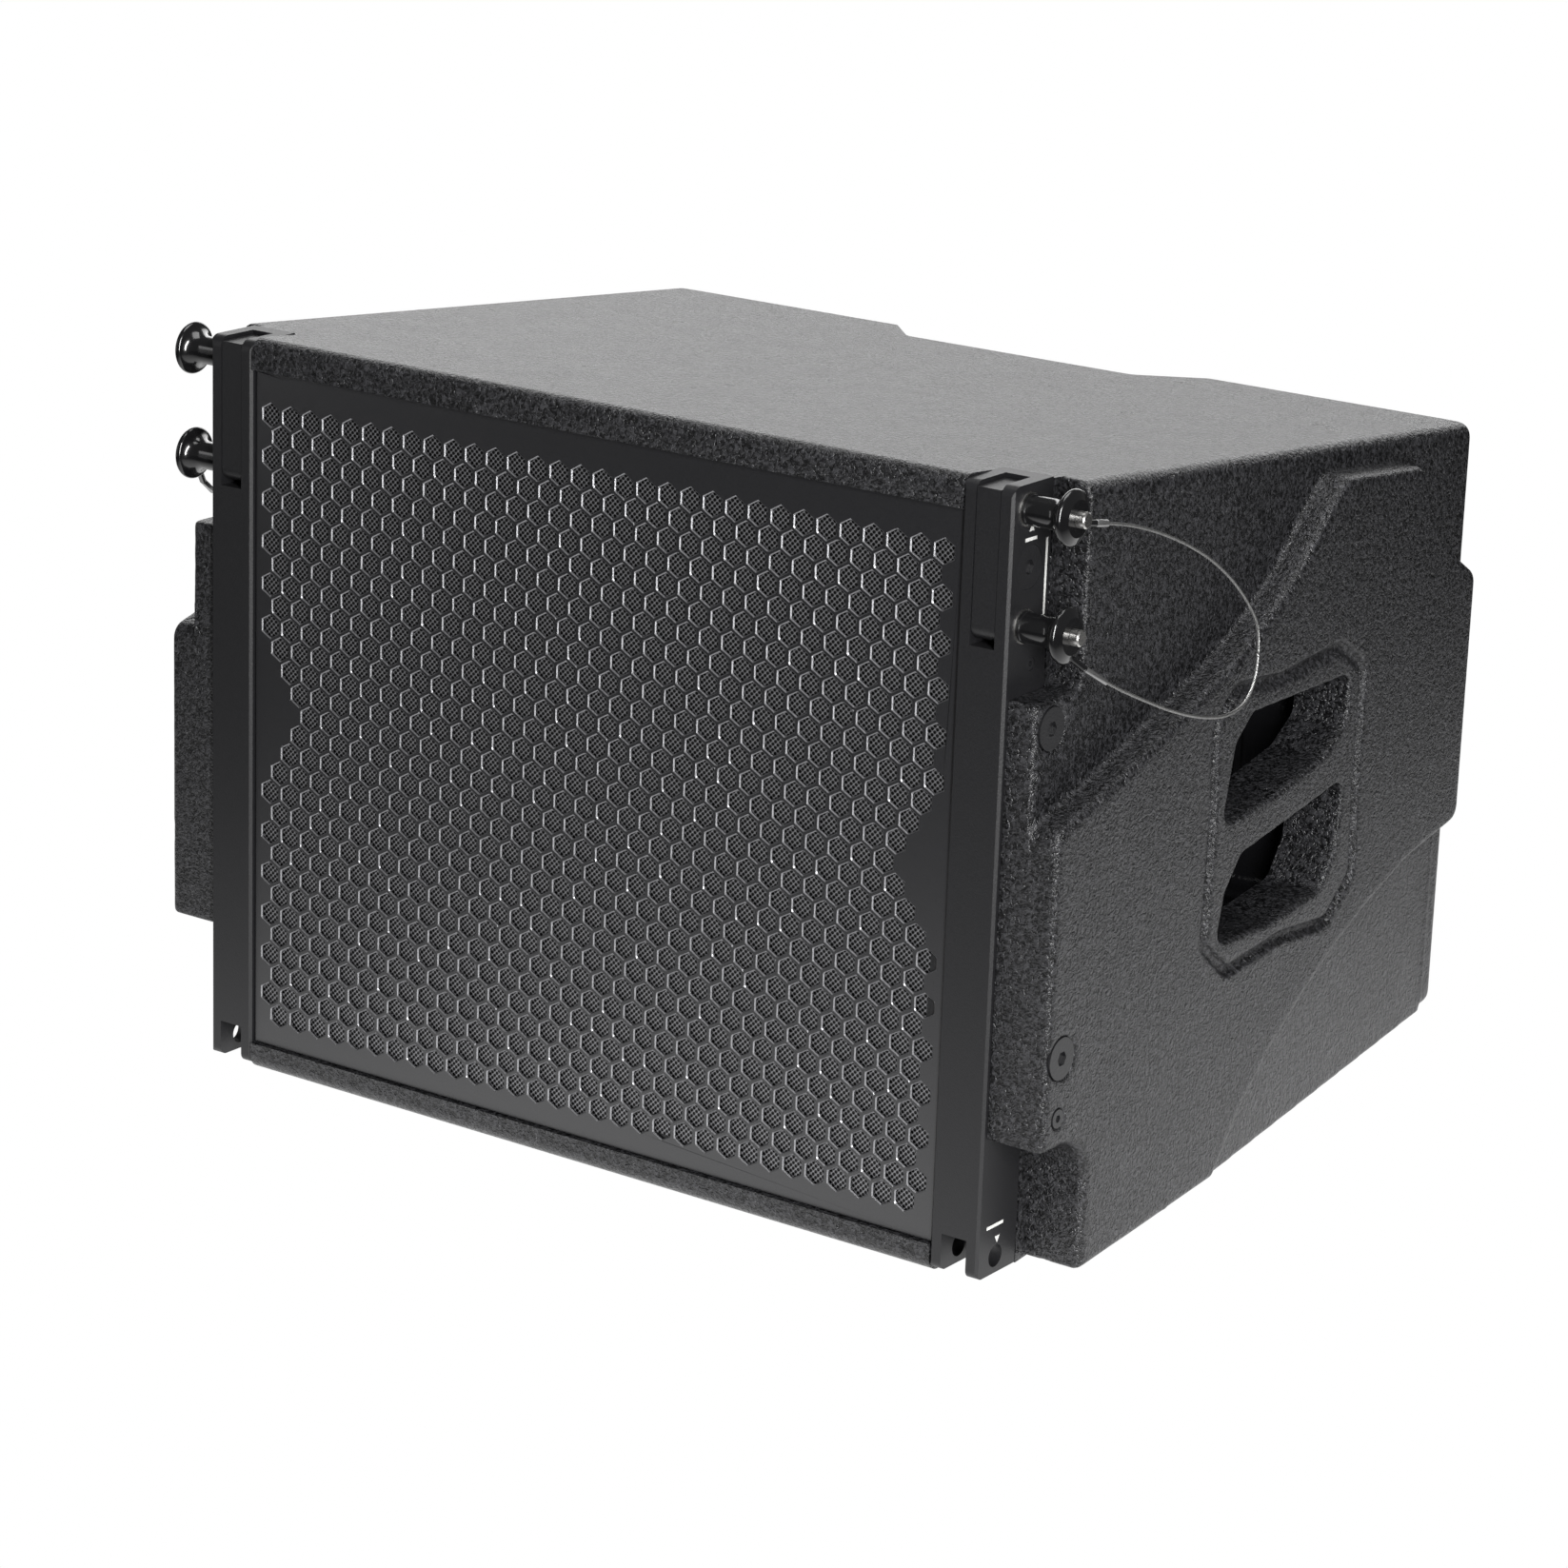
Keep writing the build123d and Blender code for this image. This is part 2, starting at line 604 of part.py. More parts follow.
with BuildPart() as bushes_right:
    with BuildSketch(Plane.YZ.offset(slot_outer + 0.5)):
        with Locations(*[(pin_axis_y, z) for z in pin_heights]):
            Circle(7.45)
            Circle(pin_bore, mode=Mode.SUBTRACT)
    extrude(amount=column_outer + 0.6 - slot_outer - 0.5)
with BuildPart() as pin_bushes:
    add(bushes_right.part)
    mirror(bushes_right.part, about=Plane.YZ)
keep("pin_bushes", pin_bushes)

# link bars: a long slot rides on the upper pin, the lower end is forked
bar_half = 5.8
bar_top = column_top - 2
with BuildPart() as link_bar_right:
    with BuildSketch(Plane.YZ.offset((slot_inner + slot_outer) / 2)):
        with BuildLine():
            Polyline((0.3, slot_bottom + 2.3), (21, slot_bottom + 2.3), (21, bar_top), (0.3, bar_top),
                     close=True)
        bar_face = make_face()
        fillet(bar_face.vertices().group_by(Axis.Z)[-1].sort_by(Axis.Y)[0], radius=6)
        for low, high in ((pin_heights[1] - bar_travel, pin_heights[1]), (pin_heights[0] - 20, pin_heights[0])):
            with Locations((pin_axis_y, (low + high) / 2)):
                SlotCenterToCenter(high - low, 2 * pin_radius + 0.5, rotation=90, mode=Mode.SUBTRACT)
    extrude(amount=bar_half, both=True)
keep("link_bar_right", link_bar_right)
mirrored("link_bar_left", link_bar_right)

# ---- wire lanyards between the two pins of a side ----------------------------------------------
wire_radius = 0.8
upper_route = [(243.6, 28.0, 338.2), (247.0, 42.0, 336.2), (251.5, 60.0, 331.0), (255.6, 79.0, 323.0),
               (259.2, 97.0, 313.0), (262.0, 113.0, 300.5), (263.4, 126.0, 287.0),
               (264.0, 133.6, 276.0), (264.0, 133.6, 265.0)]
lower_route = [(245.6, 22.0, 277.2), (250.0, 35.0, 268.5), (255.0, 53.0, 259.5), (259.2, 73.0, 250.5),
               (262.0, 92.0, 244.4), (263.4, 110.0, 241.2), (264.0, 125.0, 243.4),
               (264.0, 133.6, 253.5), (264.0, 133.6, 265.0)]
routes = {"upper": upper_route, "lower": lower_route}
ferrule_radius = 1.5
ferrule_roots = {"upper": (241.9, 21.6, 339.2), "lower": (242.0, 16.2, 282.6)}

# ---- quick-release pins with their buttons ---------------------------------------------------
pin_tip = window + 1.3
pin_shoulder = column_outer + 0.8
flange_face = 245.0
button_face = 249.5
flare = flange_face - 12.0  # where the sleeve of a pin starts to widen

for level, z in zip(("lower", "upper"), pin_heights):
    pin_axis = Axis((0, pin_axis_y, z), (1, 0, 0))
    profile_plane = Plane(origin=(0, pin_axis_y, z), x_dir=(1, 0, 0), z_dir=(0, -1, 0))
    with BuildPart() as pin:
        with BuildSketch(profile_plane):
            with BuildLine():
                Polyline((pin_tip, 0), (pin_tip, 4), (pin_tip + 1, pin_radius),
                         (pin_shoulder, pin_radius), (pin_shoulder, 7.0), (pin_shoulder + 1, 7.0),
                         (pin_shoulder + 1.4, 6.6), (flare, 6.6))
                ThreePointArc((flare, 6.6), (flare + 4.6, 7.9), (flare + 7.4, 11.4))
                ThreePointArc((flare + 7.4, 11.4), (flare + 8.8, 12.2), (flare + 10.2, 11.4))
                Line((flare + 10.2, 11.4), (flange_face, 8))
                Polyline((flange_face, 8), (flange_face, 3.75), (flare, 3.75), (flare, 0), (pin_tip, 0))
            make_face()
        revolve(axis=pin_axis)
        root, end = Vector(ferrule_roots[level]), Vector(routes[level][0])
        with BuildSketch(Plane(origin=root, z_dir=end - root)):
            Circle(ferrule_radius)
        extrude(amount=(end - root).length)
    keep(f"quick_pin_right_{level}", pin)
    mirrored(f"quick_pin_left_{level}", pin)
    with BuildPart() as button:
        with BuildSketch(profile_plane):
            with BuildLine():
                Polyline((flare + 3.5, 0), (flare + 3.5, 3.6), (button_face - 0.6, 3.6), (button_face, 3),
                         (button_face, 0), close=True)
            make_face()
        revolve(axis=pin_axis)
    keep(f"pin_button_right_{level}", button)
    mirrored(f"pin_button_left_{level}", button)

def run_length(points):
    """Lengths of the straight runs between neighbouring points."""
    return [(Vector(b) - Vector(a)).length for a, b in zip(points, points[1:])]


def lanyard(level, route):
    """Sweep one half of a lanyard along straight runs and tangent arcs."""
    runs = run_length(route)
    radii = []
    for i in range(1, len(route) - 1):
        before = Vector(route[i]) - Vector(route[i - 1])
        after = Vector(route[i + 1]) - Vector(route[i])
        turn = radians(before.get_angle(after))
        radii.append(0.45 * min(runs[i - 1], runs[i]) / tan(turn / 2))
    with BuildPart() as wire:
        with BuildLine() as path:
            FilletPolyline(*route, radius=radii)
        start = Vector(route[0])
        with BuildSketch(Plane(origin=start, z_dir=Vector(route[1]) - start)):
            Circle(wire_radius)
        sweep()
    length = sum(edge.length for edge in path.edges())
    expected = length * wire_radius ** 2 * pi
    print(f"lanyard {level}: {length:.1f} mm, radii "
          f"{min(radii):.0f}-{max(radii):.0f} mm, volume ratio {wire.part.volume / expected:.3f}")
    keep(f"lanyard_right_{level}", wire)
    mirrored(f"lanyard_left_{level}", wire)


for level, route in routes.items():
    lanyard(level, route)

# ---- fasteners on the columns and the cheeks ------------------------------------------------------
with BuildPart() as screws_right:
    for (y, z), face, head, key in [(csk_places[0], column_outer, screw_head, 3.0),
                                    ((19, 275.6), column_outer, 2.9, 1.2)] + cheek_screws:
        with BuildSketch(Plane.YZ.offset(face - 2.8)):
            with Locations((y, z)):
                Circle(head)
        extrude(amount=2.6)
        with BuildSketch(Plane.YZ.offset(face - 2.0)):
            with Locations((y, z)):
                RegularPolygon(key, 6, major_radius=False)
        extrude(amount=3, mode=Mode.SUBTRACT)

with BuildPart() as side_screws:
    add(screws_right.part)
    mirror(screws_right.part, about=Plane.YZ)
keep("side_screws", side_screws)

# ---- rear rigging: a channel in the recess with its splay bar and pin -------------------------------
channel_half = 15.0
channel_wall = 4.0
channel_front = rear_face
channel_rear = depth - 4.0
rear_bar_half = 5.0
rear_pin_y, rear_pin_z = 366.0, 294.0
channel_low, channel_high = 36.0, 308.0

with BuildPart() as rear_channel:
    with BuildSketch(Plane.XY.offset(channel_low)):
        with Locations((0, (channel_front + channel_rear) / 2)):
            Rectangle(2 * channel_half, channel_rear - channel_front)
        with Locations((0, (channel_front + channel_wall + channel_rear + 1) / 2)):
            Rectangle(2 * (rear_bar_half + 0.4), channel_rear + 1 - channel_front - channel_wall,
                      mode=Mode.SUBTRACT)
    extrude(amount=channel_high - channel_low)
    with BuildSketch(Plane.YZ.offset(-channel_half - 1)):
        with Locations((rear_pin_y, rear_pin_z), (rear_pin_y, 48)):
            Circle(pin_bore)
    extrude(amount=2 * channel_half + 2, mode=Mode.SUBTRACT)
keep("rear_channel", rear_channel)

with BuildPart() as rear_splay_bar:
    with BuildSketch(Plane.YZ):
        with BuildLine():
            Polyline((channel_front + channel_wall + 1, 190), (channel_rear - 0.5, 190),
                     (channel_rear - 0.5, 306), (channel_front + channel_wall + 1, 306), close=True)
        splay_face = make_face()
        fillet(splay_face.vertices(), radius=4)
        with Locations((rear_pin_y, rear_pin_z - 12)):
            SlotCenterToCenter(24, 2 * pin_radius + 0.5, rotation=90, mode=Mode.SUBTRACT)
        with Locations(*[(rear_pin_y, z) for z in (202, 220, 238, 256)]):
            Circle(pin_radius + 0.25, mode=Mode.SUBTRACT)
    extrude(amount=rear_bar_half, both=True)
keep("rear_splay_bar", rear_splay_bar)

rear_pin_axis = Axis((0, rear_pin_y, rear_pin_z), (1, 0, 0))
rear_profile_plane = Plane(origin=(0, rear_pin_y, rear_pin_z), x_dir=(1, 0, 0), z_dir=(0, -1, 0))
with BuildPart() as rear_pin:
    with BuildSketch(rear_profile_plane):
        with BuildLine():
            Polyline((-channel_half - 1.5, 0), (-channel_half - 1.5, 4), (-channel_half - 0.5, pin_radius),
                     (channel_half + 0.3, pin_radius), (channel_half + 0.3, 6.6), (30, 6.6))
            ThreePointArc((30, 6.6), (33.6, 7.8), (36, 10.6))
            Line((36, 10.6), (38.6, 10.2))
            Polyline((38.6, 10.2), (39.6, 8), (39.6, 3.75), (30, 3.75), (30, 0), (-channel_half - 1.5, 0))
        make_face()
    revolve(axis=rear_pin_axis)
keep("rear_pin", rear_pin)

with BuildPart() as rear_pin_button:
    with BuildSketch(rear_profile_plane):
        with BuildLine():
            Polyline((33, 0), (33, 3.6), (44.4, 3.6), (45, 3), (45, 0), close=True)
        make_face()
    revolve(axis=rear_pin_axis)
keep("rear_pin_button", rear_pin_button)

# ---- lay the cabinet back onto its bottom face and write every piece ---------------------------------
lean = Location((0, 0, 0), (-taper, 0, 0))
for piece in pieces.values():
    piece.part.move(lean)
boxes = [piece.part.bounding_box() for name, piece in pieces.items() if not name.startswith("lanyard")]
front_most = min(box.min.Y for box in boxes)
rear_most = max(box.max.Y for box in boxes)
centre_shift = -(front_most + rear_most) / 2
print(f"shift along Y: {centre_shift:.4f}, lowest point {min(box.min.Z for box in boxes):.4f}")

for name, piece in pieces.items():
    piece.part.move(Location((0, centre_shift, 0)))
    piece.part.label = name
    export_step(piece.part, f"parts/{name}.step")
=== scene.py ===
"""Looks of a compact line array loudspeaker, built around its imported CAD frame."""
import json
from math import cos, pi, radians, sin

import bpy
from mathutils import Matrix, Vector


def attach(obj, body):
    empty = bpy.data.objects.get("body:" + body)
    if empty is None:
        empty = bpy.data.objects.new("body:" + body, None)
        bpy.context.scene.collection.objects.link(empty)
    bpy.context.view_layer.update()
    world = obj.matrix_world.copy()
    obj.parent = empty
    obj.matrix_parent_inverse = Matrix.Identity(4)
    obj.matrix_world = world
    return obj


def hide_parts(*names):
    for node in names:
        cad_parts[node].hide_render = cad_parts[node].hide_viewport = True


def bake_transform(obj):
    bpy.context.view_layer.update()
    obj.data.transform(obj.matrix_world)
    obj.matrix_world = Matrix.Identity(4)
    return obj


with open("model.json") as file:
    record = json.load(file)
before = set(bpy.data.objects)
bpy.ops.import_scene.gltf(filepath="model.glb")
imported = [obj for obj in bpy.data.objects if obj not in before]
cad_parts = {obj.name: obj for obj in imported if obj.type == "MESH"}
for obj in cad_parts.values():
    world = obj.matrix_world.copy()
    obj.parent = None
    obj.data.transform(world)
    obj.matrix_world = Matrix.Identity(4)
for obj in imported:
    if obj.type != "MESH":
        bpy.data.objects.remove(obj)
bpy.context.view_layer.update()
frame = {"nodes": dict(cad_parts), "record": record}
nodes = frame["nodes"]

# ---- Studio ----------------------------------------------------------------
# A white table in a dark room, seen against white: a long soft box behind for the
# sheen of the top, strips at both sides, and light that comes up from the table.
centre = Vector((0, 0, 0.18))
view_azimuth, view_elevation, view_roll = radians(36.08), radians(20.83), radians(-1.08)
view_distance, focal_length = 2.295, 111.0
aim_right, aim_up = -0.0201, -0.0538

forward = Vector((-sin(view_azimuth) * cos(view_elevation), cos(view_azimuth) * cos(view_elevation),
                  -sin(view_elevation)))
view_right = Vector((cos(view_azimuth), sin(view_azimuth), 0))
view_up = view_right.cross(forward)
lens = bpy.data.cameras.new("studio_camera")
lens.lens, lens.sensor_width = focal_length, 36
lens.clip_start, lens.clip_end = 0.05, 60
camera = bpy.data.objects.new("studio_camera", lens)
bpy.context.scene.collection.objects.link(camera)
camera.location = centre + view_right * aim_right + view_up * aim_up - forward * view_distance
camera.rotation_euler = (forward.to_track_quat("-Z", "Y").to_matrix()
                         @ Matrix.Rotation(view_roll, 3, "Z")).to_euler()
bpy.context.scene.camera = camera


def soft_box(name, place, size, power, target=centre):
    """A rectangular area light that faces the object."""
    light = bpy.data.lights.new(name, "AREA")
    light.shape, light.size, light.size_y, light.energy = "RECTANGLE", size[0], size[1], power
    lamp = bpy.data.objects.new(name, light)
    bpy.context.scene.collection.objects.link(lamp)
    lamp.location = place
    lamp.rotation_euler = (target - Vector(place)).to_track_quat("-Z", "Y").to_euler()


soft_box("rear_box", (-1.5, 2.4, 1.0), (3.4, 1.6), 36)
soft_box("overhead_box", (0.2, 0.3, 2.4), (1.6, 1.6), 26)
soft_box("right_front_strip", (1.5, -1.3, 0.9), (0.30, 1.5), 58)
soft_box("left_front_strip", (-1.7, -1.5, 0.7), (0.30, 1.5), 2.5)
table_glow, table_reach, room_glow = 1.7, 0.85, 0.09


def seen_as_white(tree, emission):
    """Show plain white to the camera and the given light to the object."""
    ray = tree.nodes.new("ShaderNodeLightPath")
    choose = tree.nodes.new("ShaderNodeMixShader")
    white = tree.nodes.new("ShaderNodeEmission" if emission.bl_idname.endswith("Emission")
                           else "ShaderNodeBackground")
    white.inputs["Color"].default_value = (1, 1, 1, 1)
    tree.links.new(ray.outputs["Is Camera Ray"], choose.inputs["Fac"])
    tree.links.new(emission.outputs[0], choose.inputs[1])
    tree.links.new(white.outputs[0], choose.inputs[2])
    return choose


bpy.ops.object.select_all(action="DESELECT")
bpy.ops.mesh.primitive_plane_add(size=14, location=(0, 0, 0))
floor = bpy.context.object
floor.name = "studio_table"
floor_paint = bpy.data.materials.new("studio_white")
floor_paint.use_nodes = True
tree = floor_paint.node_tree
place = tree.nodes.new("ShaderNodeTexCoord")
reach = tree.nodes.new("ShaderNodeMapping")
reach.inputs["Scale"].default_value = (1 / table_reach,) * 3
ball = tree.nodes.new("ShaderNodeTexGradient")
ball.gradient_type = "SPHERICAL"
glow = tree.nodes.new("ShaderNodeMapRange")
glow.inputs["To Min"].default_value, glow.inputs["To Max"].default_value = 0.02, table_glow
light = tree.nodes.new("ShaderNodeEmission")
tree.links.new(place.outputs["Object"], reach.inputs["Vector"])
tree.links.new(reach.outputs["Vector"], ball.inputs["Vector"])
tree.links.new(ball.outputs["Fac"], glow.inputs["Value"])
tree.links.new(glow.outputs["Result"], light.inputs["Strength"])
tree.links.new(seen_as_white(tree, light).outputs[0], tree.nodes["Material Output"].inputs["Surface"])
floor.data.materials.append(floor_paint)

surround = bpy.data.worlds.new("studio_room")
surround.use_nodes = True
tree = surround.node_tree
room = tree.nodes["Background"]
room.inputs["Color"].default_value = (1, 1, 1, 1)
room.inputs["Strength"].default_value = room_glow
tree.links.new(seen_as_white(tree, room).outputs[0], tree.nodes["World Output"].inputs["Surface"])
bpy.context.scene.world = surround
bpy.context.scene.view_settings.view_transform = "Standard"

# ---- Laid-back frame ---------------------------------------------------------
# The cabinet tapers to the rear and stands on its sloping bottom, so its front
# leans back.  Places square to its front are turned by the taper and set on the
# right-hand link hole, which lies just behind and above the lower front edge.
taper = radians(5.0)
hole_behind_edge, hole_above_edge = 0.014, 0.011
lean = Matrix.Rotation(-taper, 3, "X")
link_hole = next(m for m in frame["record"]["mounts"] if m["name"] == "link_hole_right")
link_hole_y, link_hole_z = link_hole["pos_m"][1:]
hole_offset = Vector((0, hole_behind_edge, hole_above_edge))
front_edge = Vector((0, link_hole_y, link_hole_z)) - lean @ hole_offset


def laid_back(x, y, z):
    """A place given square to the front, in metres, as it stands on the floor."""
    return front_edge + lean @ Vector((x, y, z))


# ---- Wire lanyards -------------------------------------------------------------
# Stainless wire rope, 1.6 mm, one loop between the two pins of each side.  Each
# half runs from a pin's ferrule to the far point of the loop: 139 mm and 137 mm.
wire_diameter = 0.0016
strand_count, strand_radius, lay_length = 6, 0.00029, 0.009
upper_route = [(0.2436, 0.0280, 0.3382), (0.2470, 0.0420, 0.3362), (0.2515, 0.0600, 0.3310),
               (0.2556, 0.0790, 0.3230), (0.2592, 0.0970, 0.3130), (0.2620, 0.1130, 0.3005),
               (0.2634, 0.1260, 0.2870), (0.2640, 0.1336, 0.2760), (0.2640, 0.1336, 0.2650)]
lower_route = [(0.2456, 0.0220, 0.2772), (0.2500, 0.0350, 0.2685), (0.2550, 0.0530, 0.2595),
               (0.2592, 0.0730, 0.2505), (0.2620, 0.0920, 0.2444), (0.2634, 0.1100, 0.2412),
               (0.2640, 0.1250, 0.2434), (0.2640, 0.1336, 0.2535), (0.2640, 0.1336, 0.2650)]

wire_steel = bpy.data.materials.new("wire_rope_steel")
wire_steel.use_nodes = True
tree = wire_steel.node_tree
shader = tree.nodes["Principled BSDF"]
shader.inputs["Metallic"].default_value = 1.0
place = tree.nodes.new("ShaderNodeTexCoord")
soot = tree.nodes.new("ShaderNodeTexNoise")
soot.inputs["Scale"].default_value = 900
tint = tree.nodes.new("ShaderNodeValToRGB")
tint.color_ramp.elements[0].color = (0.20, 0.20, 0.20, 1)
tint.color_ramp.elements[1].color = (0.62, 0.62, 0.61, 1)
tree.links.new(place.outputs["Object"], soot.inputs["Vector"])
tree.links.new(soot.outputs["Fac"], tint.inputs["Fac"])
tree.links.new(tint.outputs["Color"], shader.inputs["Base Color"])
shader.inputs["Roughness"].default_value = 0.34


def spline_points(route):
    """Evenly read points of the smooth line that a route's points control."""
    curve = bpy.data.curves.new("route", "CURVE")
    curve.dimensions = "3D"
    line = curve.splines.new("NURBS")
    line.points.add(len(route) - 1)
    for point, where in zip(line.points, route):
        point.co = (*where, 1)
    line.order_u, line.use_endpoint_u = 3, True
    line.resolution_u = 16
    holder = bpy.data.objects.new("route", curve)
    mesh = bpy.data.meshes.new_from_object(holder)
    points = [v.co.copy() for v in mesh.vertices]
    bpy.data.objects.remove(holder)
    bpy.data.curves.remove(curve)
    bpy.data.meshes.remove(mesh)
    return points


def wire_rope(name, points):
    """A core with six strands laid round it, following the points of a line."""
    verts, faces = [], []
    sides = 6
    travelled = 0.0
    across = Vector((1, 0, 0))
    rings = [[] for strand in range(strand_count + 1)]
    for i, point in enumerate(points):
        along = (points[min(i + 1, len(points) - 1)] - points[max(i - 1, 0)]).normalized()
        across = (across - along * across.dot(along)).normalized()
        beside = along.cross(across)
        if i:
            travelled += (point - points[i - 1]).length
        for strand in range(strand_count + 1):
            turn = 2 * pi * (strand / strand_count + travelled / lay_length)
            reach = 0 if strand == strand_count else wire_diameter / 2 - strand_radius
            middle = point + (across * cos(turn) + beside * sin(turn)) * reach
            ring = []
            for side in range(sides):
                angle = 2 * pi * side / sides
                ring.append(len(verts))
                verts.append(middle + (across * cos(angle) + beside * sin(angle)) * strand_radius)
            rings[strand].append(ring)
    for strand_rings in rings:
        for one, two in zip(strand_rings, strand_rings[1:]):
            for side in range(sides):
                after = (side + 1) % sides
                faces.append((one[side], one[after], two[after], two[side]))
        faces.append(strand_rings[0][::-1])
        faces.append(strand_rings[-1])
    mesh = bpy.data.meshes.new(name)
    mesh.from_pydata(verts, [], faces)
    mesh.update()
    mesh.polygons.foreach_set("use_smooth", [True] * len(mesh.polygons))
    mesh.materials.append(wire_steel)
    piece = bpy.data.objects.new(name, mesh)
    bpy.context.scene.collection.objects.link(piece)
    return piece


for side, sign in (("right", 1), ("left", -1)):
    for level, route in (("upper", upper_route), ("lower", lower_route)):
        points = spline_points([laid_back(sign * x, y, z) for x, y, z in route])
        rope = wire_rope(f"wire_{side}_{level}", points)
        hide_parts(f"lanyard_{side}_{level}")
        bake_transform(rope)

# ---- Coated cabinet --------------------------------------------------------------
# Birch plywood and moulded cheeks under a sprayed black polyurea coat.  The coat
# has a leathery grain about a millimetre across and softens every edge.
# The second colour is a painted highlight: the raised grain of the coat is coloured lighter than its
# black pits.
coat_black, coat_ridge_highlight = (0.003, 0.003, 0.0034, 1), (0.046, 0.046, 0.050, 1)
grain_size, pore_size = 0.0019, 0.0007
grain_height = 0.0014


def set_material(node, material):
    """Give a CAD node one material, whatever slots it came with."""
    mesh = nodes[node].data
    mesh.materials.clear()
    mesh.materials.append(material)


def sprayed_coat(name, low, high, grain, height, gloss):
    """A sprayed textured coat: leathery grain, fine pores and an uneven gloss, with the raised grain
    coloured lighter as a painted highlight.
    """
    material = bpy.data.materials.new(name)
    material.use_nodes = True
    tree = material.node_tree
    shader = tree.nodes["Principled BSDF"]
    place = tree.nodes.new("ShaderNodeTexCoord")
    ridges = tree.nodes.new("ShaderNodeTexNoise")
    ridges.inputs["Scale"].default_value = 1 / grain
    ridges.inputs["Detail"].default_value = 1.5
    ridges.inputs["Distortion"].default_value = 0.9
    pores = tree.nodes.new("ShaderNodeTexNoise")
    pores.inputs["Scale"].default_value = 1 / pore_size
    pores.inputs["Detail"].default_value = 2
    mix = tree.nodes.new("ShaderNodeMix")
    mix.inputs["Factor"].default_value = 0.22
    bump = tree.nodes.new("ShaderNodeBump")
    bump.inputs["Distance"].default_value = height
    bump.inputs["Strength"].default_value = 1.0
    # The colour follows the height of the grain: a painted highlight on the ridges.
    tint = tree.nodes.new("ShaderNodeValToRGB")
    tint.color_ramp.elements[0].position, tint.color_ramp.elements[1].position = 0.42, 0.66
    tint.color_ramp.elements[0].color, tint.color_ramp.elements[1].color = low, high
    sheen = tree.nodes.new("ShaderNodeMapRange")
    sheen.inputs["To Min"].default_value, sheen.inputs["To Max"].default_value = gloss
    clouds = tree.nodes.new("ShaderNodeTexNoise")
    clouds.inputs["Scale"].default_value = 40
    link = tree.links.new
    for texture in (ridges, pores, clouds):
        link(place.outputs["Object"], texture.inputs["Vector"])
    link(ridges.outputs["Fac"], mix.inputs["A"])
    link(pores.outputs["Fac"], mix.inputs["B"])
    link(mix.outputs["Result"], bump.inputs["Height"])
    link(mix.outputs["Result"], tint.inputs["Fac"])
    link(tint.outputs["Color"], shader.inputs["Base Color"])
    link(clouds.outputs["Fac"], sheen.inputs["Value"])
    link(sheen.outputs["Result"], shader.inputs["Roughness"])
    link(bump.outputs["Normal"], shader.inputs["Normal"])
    return material


coat = sprayed_coat("polyurea_coat", coat_black, coat_ridge_highlight, grain_size, grain_height, (0.24, 0.36))
for node in ("top_panel", "bottom_panel", "rear_panel", "baffle", "cabinet_brace"):
    set_material(node, coat)

# The side panels are remade from the CAD shape with the rounding of the coat.  The
# inner face is first moved in and then cut off at the joint with the top and the
# bottom, after the rounding, so that the joint stays flush.
joint_x, joint_slack, spare_x = 0.2208, 0.0001, 0.2148
weld_distance, flat_angle = 0.00002, radians(0.6)
coat_edge, coat_edge_angle = 0.0012, radians(35)
coat_voxel, smoothing_passes, kept_share = 0.0011, 7, 0.58
for side, sign in (("left", -1), ("right", 1)):
    bpy.ops.object.select_all(action="DESELECT")
    source = nodes[f"side_panel_{side}"]
    panel = bpy.data.objects.new(f"coated_side_{side}", source.data.copy())
    bpy.context.scene.collection.objects.link(panel)
    panel.data.materials.clear()
    panel.data.materials.append(coat)
    for vertex in panel.data.vertices:
        if abs(vertex.co.x) < joint_x + joint_slack:
            vertex.co.x = sign * spare_x
    panel.select_set(True)
    bpy.context.view_layer.objects.active = panel
    bpy.ops.object.mode_set(mode="EDIT")
    bpy.ops.mesh.select_all(action="SELECT")
    bpy.ops.mesh.remove_doubles(threshold=weld_distance)
    bpy.ops.mesh.dissolve_limited(angle_limit=flat_angle)
    bpy.ops.object.mode_set(mode="OBJECT")
    round_off = panel.modifiers.new("rounded_edges", "BEVEL")
    round_off.width, round_off.segments, round_off.limit_method = coat_edge, 2, "ANGLE"
    round_off.angle_limit, round_off.use_clamp_overlap = coat_edge_angle, False
    corners = [v.co.copy() for v in panel.data.vertices]
    limits = [(min(c[i] for c in corners), max(c[i] for c in corners)) for i in range(3)]
    bpy.ops.object.modifier_apply(modifier=round_off.name)
    # No corner of the rounded edges may stand outside the panel's own box.
    for vertex in panel.data.vertices:
        for i, (low, high) in enumerate(limits):
            vertex.co[i] = min(max(vertex.co[i], low), high)
    remesh = panel.modifiers.new("coat_thickness", "REMESH")
    remesh.mode, remesh.voxel_size, remesh.use_smooth_shade = "VOXEL", coat_voxel, True
    bpy.ops.object.modifier_apply(modifier=remesh.name)
    soften = panel.modifiers.new("coat_rounding", "SMOOTH")
    soften.factor, soften.iterations = 0.5, smoothing_passes
    bpy.ops.object.modifier_apply(modifier=soften.name)
    thin = panel.modifiers.new("fewer_faces", "DECIMATE")
    thin.ratio = kept_share
    bpy.ops.object.modifier_apply(modifier=thin.name)
    bpy.ops.object.mode_set(mode="EDIT")
    bpy.ops.mesh.select_all(action="SELECT")
    bpy.ops.mesh.bisect(plane_co=(sign * joint_x, 0, 0), plane_no=(sign, 0, 0), clear_inner=True)
    bpy.ops.mesh.fill(use_beauty=True)
    bpy.ops.mesh.select_all(action="SELECT")
    bpy.ops.mesh.normals_make_consistent(inside=False)
    bpy.ops.object.mode_set(mode="OBJECT")
    panel.data.set_sharp_from_angle(angle=radians(50))
    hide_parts(f"side_panel_{side}")
    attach(panel, "cabinet")

